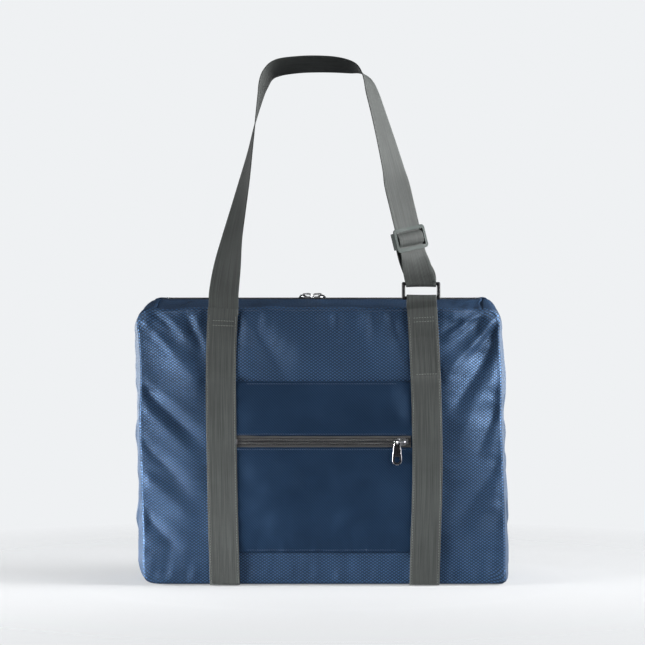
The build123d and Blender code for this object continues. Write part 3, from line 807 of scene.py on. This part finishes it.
def with_ring_loop(line, out):
    """Carries the right webbing up, round the ring's lower bar and back down behind itself."""
    radius, x, y = 0.0034, float(webbing_x(1, RIM_HIGH + 0.012)), HINGE.y
    rise = [
        (*line[-1], *out[-1]),
        (x, y - radius * 0.9, RIM_HIGH + 0.0075, 0, -1, 0.05),
        (x, y - radius, HINGE.z - 0.0005, 0, -1, 0),
    ]
    turn = round_bar(x, y, HINGE.z, radius, 1, 13)[1:]
    down = [
        tuple(turn[-1]),
        (x, y + radius * 0.75, RIM_HIGH + 0.006, 0, 1, 0),
        (x, y + radius * 0.5 + 0.0004, RIM_HIGH - 0.001, 0, 1, 0),
    ]
    added = np.vstack([spline(rise, 7)[1:], turn, spline(down, 6)[1:]])
    return np.vstack([line, added[:, :3]]), np.vstack([out, added[:, 3:]])


def build_webbing():
    """Down the front, where the right one also goes round the ring, and up the back."""
    doubled, boxed = (0.010, 0.016), (0.006, 0.011, 0.078)
    for face, body, surface, lift, top, thread_name, rows_across in (
        ("front", "bag", front_y, front_lift, 0.0004, "webbing_stitches", (doubled, boxed)),
        ("back", "back", back_y, back_lift, -0.001, "webbing_back_stitches", (boxed[:2], boxed[:2])),
    ):
        for (side, hand), across_at in zip(SIDES, rows_across):
            line, out = surface_line(side, RIM_HIGH + top, surface, lift)
            sewn = slice(None) if face == "back" else line[:, 2] < RIM_HIGH - 0.006
            rows = stitch_rows(line[sewn], out[sewn], across_at)
            if (face, side) == ("front", 1):
                line, out = with_ring_loop(line, out)
            sway = web_sway(side if face == "front" else -side)
            piece = band(f"webbing_{face}_{hand}_cloth", line, out, WEBBING, "webbing", sway=sway)
            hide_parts(f"webbing_{face}_{hand}")
            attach(piece, body)
            size = (WEB_WIDTH, full_length(line))
            thread = stitches(f"{thread_name}_{hand}", rows, WEB_THREAD, "webbing")
            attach(thread, body)


def build_base_webbing():
    """Under the bottom, in a front half and a rear half."""
    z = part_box("webbing_base_left")[1].z - WEB_THICK / 2
    for side, hand in SIDES:
        x = float(webbing_x(side, 0.0))
        front_end = float(front_y(np.array(x), np.array(0.004))) - WEB_LIFT - POCKET_STAND - WEB_THICK
        for rear, half, y0, y1 in ((False, "front", front_end, 0.0), (True, "rear", 0.0, SEAM_Y + 0.0035)):
            y = np.linspace(y0, y1, 40)
            line = stack(x, y, z + 0.0012 * fading(abs(y - (y1 if rear else y0)), 0.003))
            name, out = f"webbing_base_{hand}", stack(0 * y, 0.0, -1.0)
            piece = band(f"{name}_{half}", line, out, WEBBING, "webbing", start=float(y0))
            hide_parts(name)
            across_flatten(piece, rear)


# ---- front pocket
def pocket_y(x, z):
    """The pocket's outer cloth: lies off the shell, drawn in at its sewn edges."""
    inside = np.minimum(x - webbing_x(-1, z), webbing_x(1, z) - x) - WEB_WIDTH / 2
    low, high = z - POCKET_LOW.z, POCKET_HIGH.z - z
    slack = smooth((inside + 0.002) / 0.03) * smooth(low / 0.03) * smooth((high + 0.01) / 0.03)
    slack = slack * smooth((abs(z - POCKET_ZIP_Z) - 0.004) / 0.03)
    sag = 0.0024 * slack * (0.8 + ripple(x + 0.7 * z, z, 0.085, 21) + 0.25 * ripple(x, z, 0.030, 27))
    draw = 0.0006 * fading(low, 0.012) * ripple(x, z, 0.013, 23, 4.0)
    side = 0.0006 * fading(inside, 0.010) * ripple(z, x, 0.017, 25, 3.0)
    sunk = 0.0016 * fading(low - 0.004, 0.006) + 0.001 * fading(high, 0.005)
    return -SEAM_Y - crown(x, z) - POCKET_STAND - sag - draw - side + sunk


def hemmed_panel(name, z0, z1, hem_at, upwards):
    """A panel whose edge beside the zipper is folded under. Gives the line of its topstitch."""
    half, topstitch = POCKET_HIGH.x, 0.0026
    up = np.linspace(z0, z1, round((z1 - z0) / 0.0028))
    gx, gz = np.meshgrid(np.linspace(-half, half, 100), up)
    edge = abs(gz - hem_at)
    hem = 0.0009 * smooth(1 - np.maximum(edge - 0.0045, 0) / 0.0015)
    roll = 0.0011 * hump(edge, 0.0011)
    grid = stack(gx, pocket_y(gx, gz) - hem + roll, gz)
    piece = cloth(f"pocket_{name}_cloth", grid, stack(gx, gz), POCKET_CLOTH, "pocket_fabric", 0.0008)
    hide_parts(f"pocket_panel_{name}")
    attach(piece, "bag")
    return pocket_stitch_line(half - 0.008, hem_at + upwards * topstitch, 0.0009)


def pocket_stitch_line(half, z, lift):
    x = np.linspace(-half, half, 200)
    return stack(x, pocket_y(x, z) - lift, z)


def build_pocket():
    half = POCKET_HIGH.x
    seams = [
        hemmed_panel("upper", UPPER_LOW, UPPER_HIGH, UPPER_LOW, 1),
        hemmed_panel("lower", LOWER_LOW, LOWER_HIGH, LOWER_HIGH, -1),
        pocket_stitch_line(half - 0.02, LOWER_LOW + 0.0035, 0.0001),
        pocket_stitch_line(half - 0.02, UPPER_HIGH - 0.003, 0.0001),
    ]
    up = np.linspace(LOWER_LOW + 0.001, UPPER_HIGH - 0.001, 60)
    gx, gz = np.meshgrid(np.linspace(-half, half, 60), up)
    lining = stack(gx, -SEAM_Y - crown(gx, gz) - 0.0022, gz)
    piece = cloth("pocket_lining_cloth", lining, stack(gx, gz), POCKET_CLOTH, "pocket_fabric")
    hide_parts("pocket_lining")
    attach(piece, "bag")
    rows = [(line, np.broadcast_to([0.0, -1.0, 0.0], line.shape)) for line in seams]
    thread = stitches("pocket_stitches", rows, NAVY_THREAD, "pocket_fabric", 0.003, 0.00024)
    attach(thread, "bag")


# ---- zippers
def coil_line(half_length, pitch, per_turn=10):
    """A flattened spiral in the zipper's own frame: x along, y across, z out."""
    near, far, height = 0.00015, 0.0034, 0.0012
    place = np.arange(round(2 * half_length / pitch) * per_turn) / per_turn
    swing = np.cos(2 * pi * place)
    y = (near + far) / 2 + (far - near) / 2 * np.sign(swing) * abs(swing) ** 0.8
    return stack(place * pitch - half_length, y, height / 2 * np.sin(2 * pi * place))


def build_zipper(place, body, half_length, tape_half, tape_width, name, halves):
    """place turns the zipper's own (x across the bag, y across the chain, z out) into the frame."""
    tape_thick, chain_gap, coil_thread, pitch = 0.0006, 0.0006, 0.00033, 0.0015
    for sign, half in zip((1, -1), halves):
        y = np.linspace(chain_gap, tape_width, 12)[::sign] * sign
        gx, gy = np.meshgrid(np.linspace(-tape_half, tape_half, 160), y)
        lift = tape_thick + 0.0002 * hump(abs(gy) - 0.0045, 0.0007) + 0.0001 * ripple(gx, gy, 0.03, 33)
        grid = settle(place(gx, gy, lift))
        tape = cloth(f"{name}_tape_{half}_cloth", grid, stack(gx, gy), TAPE, "zip_tape")
        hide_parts(f"{name}_tape_{half}")
        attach(tape, body)
        centre = coil_line(half_length, pitch) * [1, sign, 1] + [0, 0, tape_thick + 0.0008]
        if sign < 0:  # its loops lie between those of the other half
            centre[:, 0] += pitch / 2
            centre = centre[centre[:, 0] < half_length]
        points, faces = tube(centre, coil_thread, 5)
        coil = new_piece(f"{name}_coil_{half}_spiral", settle(place(*points.T)), faces, COIL, "zip_coil")
        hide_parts(f"{name}_coil_{half}")
        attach(coil, body)


def build_zippers():
    build_zipper(
        lambda x, y, out: stack(x, y, TAPE_Z + out),
        "zip_line",
        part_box("main_zip_coil_rear")[1].x,
        ZIP_END_X,
        TAPE_EDGE_Y + 0.004,
        "main_zip",
        ("rear", "front"),
    )
    build_zipper(
        lambda x, y, out: stack(x, POCKET_TAPE_Y - out, POCKET_ZIP_Z + y),
        "bag",
        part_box("pocket_zip_coil_upper")[1].x,
        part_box("pocket_zip_tape_upper")[1].x,
        POCKET_SLOT + 0.005,
        "pocket_zip",
        ("upper", "lower"),
    )


def build_zip_ends():
    """Cloth tabs that close the crest past the ends of the main zipper."""
    y = np.linspace(-TAPE_EDGE_Y - 0.003, TAPE_EDGE_Y + 0.003, 22)
    for side, hand in SIDES:
        x = np.linspace(ZIP_END_X - 0.006, STRAIGHT_X + 0.006, 14)[::side] * side
        gx, gy = np.meshgrid(x, y)
        z = RIM_HIGH + gusset_out(gx, RIM_HIGH + 0 * gx, np.ones_like(gx), gy, 91) + 0.0011
        over_tape = 1 - smooth((abs(gx) - ZIP_END_X + 0.004) / 0.004)
        over_tape = over_tape * smooth((TAPE_EDGE_Y - abs(gy)) / 0.004)
        grid = settle(stack(gx, gy, z + (CREST_Z + 0.0002 - z) * over_tape))
        size = (full_length(grid[len(y) // 2]), full_length(grid[:, len(x) // 2]))
        piece = cloth(f"zip_end_tab_{hand}_cloth", grid, stack(gx, gy), RIPSTOP, "shell_fabric")
        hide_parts(f"zip_end_tab_{hand}")
        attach(piece, "zip_line")


# ---- shoulder strap
GLIDE_AXIS = Vector(JOINTS["triglide_slide"]["axis"])
GLIDE_CENTRE = Vector((0.111, -0.0886, 0.4394))
GLIDE_YAW = radians(32)
GLIDE_FACE = Vector((sin(GLIDE_YAW), -cos(GLIDE_YAW), 0))
GLIDE_FACE = (GLIDE_FACE - GLIDE_AXIS * GLIDE_FACE.dot(GLIDE_AXIS)).normalized()
RING_X, RING_TOP_Z = 0.1255, HINGE.z + 0.018
WRAP_R = 0.0032


def leg(side, listed):
    """Rows of the strap from its places and, in degrees, where it faces: 0 is front and 90 outwards."""
    return [(x, y, z, side * sin(radians(yaw)), -cos(radians(yaw)), 0.0) for x, y, z, yaw in listed]


def on_glide(distance, out=0.0, facing=1):
    return (*(GLIDE_CENTRE + GLIDE_AXIS * distance + GLIDE_FACE * out), *(GLIDE_FACE * facing))


LEFT_LEG = [
    (-0.1250, -0.0836, 0.3430, 0),
    (-0.1250, -0.0850, 0.3500, 0),
    (-0.1248, -0.0866, 0.3585, 1),
    (-0.1243, -0.0866, 0.3720, 5),
    (-0.1205, -0.0866, 0.4000, 20),
    (-0.1140, -0.0865, 0.4380, 44),
    (-0.1060, -0.0860, 0.4760, 58),
    (-0.0980, -0.0855, 0.5140, 69),
    (-0.0905, -0.0850, 0.5520, 80),
    (-0.0845, -0.0850, 0.5860, 87),
    (-0.0785, -0.0840, 0.6160, 96),
    (-0.0740, -0.0830, 0.6350, 104),
]
CREST = [
    (-0.0675, -0.0820, 0.6485, -0.78, 0.36, 0.53),
    (-0.0550, -0.0820, 0.6565, -0.33, 0.47, 0.82),
    (-0.0320, -0.0820, 0.6600, -0.10, 0.47, 0.88),
    (-0.0080, -0.0820, 0.6610, 0.00, 0.46, 0.88),
    (0.0180, -0.0820, 0.6600, 0.10, 0.42, 0.90),
    (0.0380, -0.0820, 0.6565, 0.30, 0.28, 0.91),
    (0.0500, -0.0820, 0.6505, 0.62, -0.04, 0.78),
    (0.0580, -0.0825, 0.6405, 0.84, -0.30, 0.44),
]
RIGHT_LEG = [
    (0.0635, -0.0830, 0.6250, 64),
    (0.0715, -0.0840, 0.5980, 59),
    (0.0805, -0.0855, 0.5650, 52),
    (0.0895, -0.0870, 0.5300, 43),
]
TO_RING = [(0.1195, -0.0889, 0.4050, 15), (0.1228, -0.0889, 0.3910, 4)]


def strap_line():
    """The strap from the left seam to behind the ring's upper bar."""
    glide = [on_glide(distance) for distance in (0.070, 0.045, 0.022, 0.0, -0.019)]
    route = spline(leg(-1, LEFT_LEG) + CREST + leg(1, RIGHT_LEG) + glide + leg(1, TO_RING), 10)
    turn = round_bar(RING_X, HINGE.y, RING_TOP_Z, WRAP_R, -1, 14)
    join = spline([route[-1], (0.1250, -0.0889, 0.3850, 0.0, -1, 0), turn[0]], 6)[1:-1]
    end = turn[-1] + [0, 0, 0.003, 0, 0, 0]
    rows = np.vstack([route, join, turn, end])
    return rows[:, :3], unit(rows[:, 3:])


def build_strap():
    line, out = strap_line()

    def sway(across, along):
        curl = 0.0004 * (across / WEB_WIDTH * 2) ** 2
        return curl + 0.0005 * ripple(across, along, 0.09, 51, 2.0)

    strap = band("shoulder_strap_cloth", line, out, WEBBING, "webbing", sway=sway)
    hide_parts("shoulder_strap")
    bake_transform(strap)
    full_length(line)


def build_strap_tail():
    """The strap's rear layer, between the ring and the tri-glide."""
    behind = -0.0076
    route = [
        (RING_X, HINGE.y + WRAP_R, RING_TOP_Z + 0.002, 0, 1, 0),
        (RING_X - 0.0006, HINGE.y + WRAP_R + 0.0008, RING_TOP_Z + 0.010, -0.06, 1, 0),
        on_glide(-0.024, behind, -1),
        on_glide(-0.005, behind, -1),
    ]
    rows = spline(route, 12)
    tail = band("strap_tail_cloth", rows[:, :3], rows[:, 3:], WEBBING, "webbing")
    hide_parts("strap_tail")
    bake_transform(tail)
    size = (WEB_WIDTH, full_length(rows[:, :3]))


def build_glide_wrap():
    """The strap's sewn end round the centre bar, bulging forward in the tri-glide's window."""
    centre = GLIDE_CENTRE + GLIDE_FACE * -0.0039
    half_height, front, back = 0.0098, 0.0078, 0.0026
    rows = []
    for angle in np.linspace(radians(-200), radians(190), 60):
        reach = front if cos(angle) > 0 else back
        place = centre + GLIDE_AXIS * (half_height * sin(angle)) + GLIDE_FACE * (reach * cos(angle))
        face = GLIDE_AXIS * sin(angle) / half_height + GLIDE_FACE * cos(angle) / reach
        rows.append((*place, *face.normalized()))
    line, out = np.hsplit(np.array(rows), 2)
    piece = band("strap_end_loop_cloth", line, out, WEBBING, "webbing", width=WEB_WIDTH - 0.0006)
    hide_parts("strap_end_loop")
    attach(piece, "tri_glide")
    full_length(line)


# ---- rounded metal over the zipper sliders and pulls
def pull_rim(name, body, along):
    """Raised rounded rim and crossbar of a pull, from a little behind its hinge."""
    along, across = Vector(along), Vector((1, 0, 0))
    start = Vector(JOINTS[body.replace("pull", "pull_swing")]["pos_m"]) - along * 0.00215
    half = [(-0.0004, 0.0), (-0.0003, 0.0026), (0.0060, 0.0036), (0.0255, 0.0054), (0.0298, 0.0028)]
    outline = half + [(0.0309, 0.0)] + [(u, -w) for u, w in reversed(half)]
    loop = spline([start + along * u + across * w for u, w in outline], 6)
    bar = np.array([start + along * 0.0201 + across * w for w in np.linspace(-0.0042, 0.0042, 6)])
    shape = join_shapes([tube(line, 0.00070, 8) for line in (loop, bar)])
    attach(new_piece(name, *shape, NICKEL, "zip_metal"), body)


def bridge_cap(name, body, y, z, out):
    """Rounded arch over a slider; y and z are on the tape's back and out points out of the bag."""
    half = [(-0.005, 0.0032), (-0.00495, 0.0056), (-0.0033, 0.0069)]
    profile = half + [(0.0, 0.0071)] + [(-u, w) for u, w in reversed(half)]
    low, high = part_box(body)
    middle = Vector(((low.x + high.x) / 2, y, z))
    arch = spline([middle + Vector((u, 0, 0)) + Vector(out) * w for u, w in profile], 6)
    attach(new_piece(name, *tube(arch, 0.00118, 10), NICKEL, "zip_metal"), body)


def build_zip_metal():
    droop = radians(7)
    for _, hand in SIDES:
        pull_rim(f"main_pull_rim_{hand}", f"main_pull_{hand}", (0, cos(droop), -sin(droop)))
        bridge_cap(f"main_bridge_{hand}", f"main_slider_{hand}", 0, TAPE_Z, (0, 0, 1))
    pull_rim("pocket_pull_rim", "pocket_pull", (0, 0, -1))
    bridge_cap("pocket_bridge", "pocket_slider", POCKET_TAPE_Y, POCKET_ZIP_Z, (0, -1, 0))


# ---- finishes of the CAD parts that stay
def dress(node, material, edge=0.00022):
    """Gives a CAD node its finish and softens its edges."""
    piece = frame["nodes"][node]
    for slot in piece.material_slots:
        slot.material = material
    bevel = piece.modifiers.new("soft_edges", "BEVEL")
    bevel.width = edge
    bevel.segments = 2
    bevel.limit_method = "ANGLE"
    bevel.angle_limit = radians(35)


for node in ("main_slider_left", "main_slider_right", "main_zip_stops", "pocket_slider", "pocket_zip_stops"):
    dress(node, NICKEL)
# The pull bodies get the nickel in painted shade; their raised rims stay bright.
for node in ("main_pull_left", "main_pull_right", "pocket_pull"):
    dress(node, NICKEL_PAINTED_SHADE)
dress("tri_glide", GLIDE, 0.0007)
dress("strap_ring", RING_PAINT, 0.0001)

build_webbing()
build_base_webbing()
build_pocket()
build_zippers()
build_zip_ends()
build_zip_metal()
build_strap()
build_strap_tail()
build_glide_wrap()


# ---- floor, light and camera
PALE = (0.863, 0.880, 0.896, 1)


def build_floor():
    """A pale disc that fades out into the background."""
    radius = 2.2
    mesh = bpy.data.meshes.new("floor")
    ring = [(radius * cos(a), radius * sin(a), -0.0006) for a in np.linspace(0, 2 * pi, 65)[:-1]]
    mesh.from_pydata(ring, [], [list(range(64))])
    s = Shader("floor_paper")
    away = s.node("VectorMath", {0: s.node("TexCoord")["Object"]}, operation="LENGTH")["Value"]
    s.set(Base_Color=(0.27, 0.275, 0.281, 1), Roughness=0.9, Alpha=s.ramp(away, 0.32, 0.85, 1.0, 0.0))
    s.set(Emission_Color=PALE, Emission_Strength=0.36)
    mesh.materials.append(s.material)
    add_object("floor", mesh)


def area_light(name, place, aim, size, power, spread=180):
    data = bpy.data.lights.new(name, "AREA")
    data.shape = "RECTANGLE"
    data.size, data.size_y = size
    data.energy = power
    data.spread = radians(spread)
    lamp = add_object(name, data)
    lamp.location = place
    lamp.rotation_euler = (Vector(aim) - Vector(place)).to_track_quat("-Z", "Y").to_euler()


def build_world():
    """Pale behind the object, and a dimmer even light on it."""
    world = bpy.data.worlds.new("studio")
    bpy.context.scene.world = world
    world.use_nodes = True
    tree = world.node_tree
    seen = tree.nodes["Background"]
    seen.inputs["Color"].default_value = PALE
    lit = tree.nodes.new("ShaderNodeBackground")
    lit.inputs["Color"].default_value = (0.90, 0.94, 1.0, 1)
    lit.inputs["Strength"].default_value = 0.05
    mix, path = tree.nodes.new("ShaderNodeMixShader"), tree.nodes.new("ShaderNodeLightPath")
    tree.links.new(path.outputs["Is Camera Ray"], mix.inputs[0])
    tree.links.new(lit.outputs[0], mix.inputs[1])
    tree.links.new(seen.outputs[0], mix.inputs[2])
    tree.links.new(mix.outputs[0], tree.nodes["World Output"].inputs[0])


def build_camera():
    """Level, in front of the bag, with the whole strap in view."""
    camera = bpy.data.cameras.new("camera")
    distance, view_width = 2.8, 0.819
    camera.sensor_width = 36
    camera.lens = camera.sensor_width * distance / view_width
    view = add_object("camera", camera)
    view.location = (0.0006, -SEAM_Y - distance, 0.3334)
    view.rotation_euler = (radians(90), 0, 0)
    bpy.context.scene.camera = view


build_floor()
build_world()
build_camera()
area_light("left_bank", (-1.5, -0.44, 0.02), (0, 0, -0.20), (0.8, 0.6), 13, 46)
area_light("left_soft", (-1.55, -1.15, 0.45), (-0.26, 0, 0.14), (0.35, 0.9), 1.8, 40)
area_light("right_bank", (2.0, -0.30, 1.05), (0.1, -0.08, 0.60), (0.9, 0.9), 36, 80)
area_light("right_soft", (1.55, -1.15, 0.45), (0.26, 0, 0.18), (0.35, 0.9), 1.8, 40)
area_light("front_fill", (0.1, -3.2, 1.5), (0, 0, 0.3), (1.6, 1.2), 5.5)
area_light("overhead", (-0.3, 0.30, 2.6), (0, 0, 0.1), (1.0, 0.9), 12)
area_light("metal_glint", (-0.7, -2.4, 1.3), (0, 0, 0.3), (0.4, 0.4), 2)
area_light("rear_left", (-1.5, 1.6, 0.32), (0, 0, 0.22), (0.9, 0.6), 17)
area_light("rear_right", (1.6, 1.6, 0.32), (0, 0, 0.22), (0.9, 0.6), 15)
bpy.context.scene.view_settings.view_transform = "Standard"
